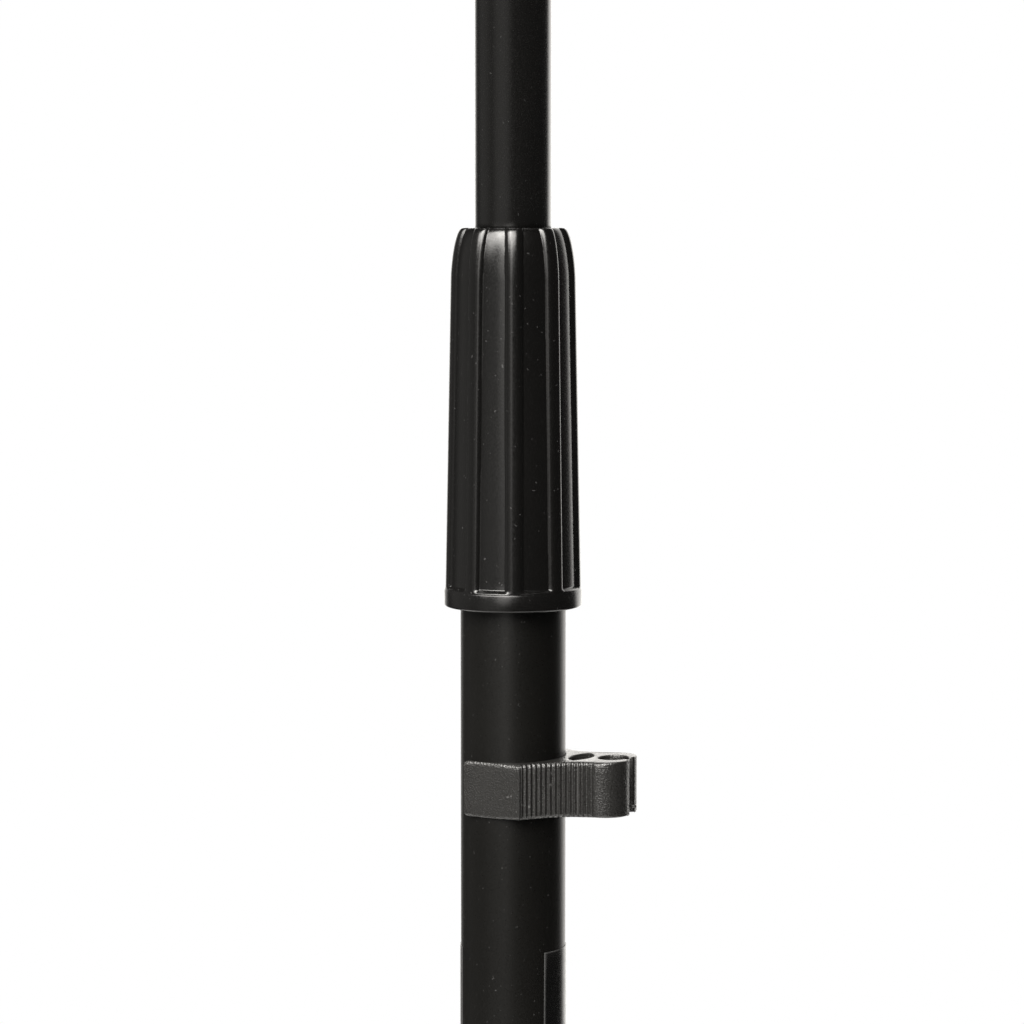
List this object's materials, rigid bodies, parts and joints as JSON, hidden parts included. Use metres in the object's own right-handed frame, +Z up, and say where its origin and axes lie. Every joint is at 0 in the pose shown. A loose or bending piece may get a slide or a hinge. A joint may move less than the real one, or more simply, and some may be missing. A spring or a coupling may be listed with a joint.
{
  "type": "music stand",
  "caption": "Folding music stand: telescopic column with a fluted twist clutch and cable clip, fold-up tripod legs and a tilting sheet-metal desk.",
  "frame": {"origin": "on the floor, under the column's axis", "axes": "+Z up along the column, player on the -Y side, +X to the player's right"},
  "size_m": [0.5676, 0.493, 1.208],
  "materials": {
    "powder_coat": "matt black powder coat, fine texture",
    "powder_coat_upper": "satin black powder coat, fine texture",
    "desk_coat": "matt black powder coat on sheet steel",
    "cast_black": "black coated die casting",
    "grip_plastic": "semi-gloss moulded black plastic",
    "clip_plastic": "grained black moulded plastic",
    "knob_plastic": "moulded black plastic",
    "label_film": "black film, blank",
    "nylon": "dark moulded nylon",
    "foot_rubber": "matt black rubber",
    "zinc_steel": "zinc-plated steel",
    "rivet_black": "black coated steel rivet"
  },
  "bodies": {
    "base": {"lower_tube": "powder_coat", "clutch_insert": "nylon", "clutch_collet": "nylon", "tube_plug": "nylon", "label_wrap": "label_film", "base_hub": "cast_black", "base_washer": "zinc_steel", "base_bolt": "zinc_steel", "leg_pin_1": "zinc_steel", "leg_pin_2": "zinc_steel", "leg_pin_3": "zinc_steel"},
    "leg_1": {"leg_knuckle_1": "cast_black", "leg_tube_1": "powder_coat", "foot_1": "foot_rubber"},
    "leg_2": {"leg_knuckle_2": "cast_black", "leg_tube_2": "powder_coat", "foot_2": "foot_rubber"},
    "leg_3": {"leg_knuckle_3": "cast_black", "leg_tube_3": "powder_coat", "foot_3": "foot_rubber"},
    "grip": {"clutch_grip": "grip_plastic"},
    "clip": {"cable_clip": "clip_plastic"},
    "mast": {"upper_tube": "powder_coat_upper", "guide_bush": "nylon"},
    "head": {"tilt_socket": "cast_black"},
    "head_screw": {"head_screw_stud": "zinc_steel", "head_screw_knob": "knob_plastic"},
    "desk": {"tilt_yoke": "powder_coat", "desk_plate": "desk_coat", "music_shelf": "desk_coat", "tilt_bolt": "zinc_steel", "friction_washers": "nylon", "yoke_rivets": "rivet_black", "shelf_rivets": "rivet_black"},
    "tilt_knob": {"tilt_knob": "knob_plastic"}
  },
  "joints": [
    {"name": "leg_1_fold", "type": "hinge", "parent": "base", "child": "leg_1", "pos_m": [0, -0.03, 0.044], "axis": [-1, 0, 0], "range_deg": [0, 96.8]},
    {"name": "leg_2_fold", "type": "hinge", "parent": "base", "child": "leg_2", "pos_m": [0.02598, 0.015, 0.044], "axis": [0.5, -0.866, 0], "range_deg": [0, 96.8]},
    {"name": "leg_3_fold", "type": "hinge", "parent": "base", "child": "leg_3", "pos_m": [-0.02598, 0.015, 0.044], "axis": [0.5, 0.866, 0], "range_deg": [0, 96.8]},
    {"name": "clutch_twist", "type": "hinge", "parent": "base", "child": "grip", "pos_m": [0, 0, 0.66], "axis": [0, 0, 1], "range_deg": [0, 180]},
    {"name": "clip_slide", "type": "slide", "parent": "base", "child": "clip", "axis": [0, 0, 1], "range_m": [-0.028, 0.03]},
    {"name": "height_slide", "type": "slide", "parent": "base", "child": "mast", "axis": [0, 0, 1], "range_m": [-0.235, 0.185]},
    {"name": "head_swivel", "type": "hinge", "parent": "mast", "child": "head", "pos_m": [0, 0, 0.97], "axis": [0, 0, 1], "continuous": true},
    {"name": "head_screw_turn", "type": "hinge", "parent": "head", "child": "head_screw", "pos_m": [0, 0, 0.968], "axis": [0, 1, 0], "range_deg": [0, 360]},
    {"name": "desk_tilt", "type": "hinge", "parent": "head", "child": "desk", "pos_m": [0, 0, 1.01], "axis": [-1, 0, 0], "range_deg": [-20, 70]},
    {"name": "tilt_knob_turn", "type": "hinge", "parent": "desk", "child": "tilt_knob", "pos_m": [0.02, 0, 1.01], "axis": [1, 0, 0], "range_deg": [0, 360]}
  ]
}
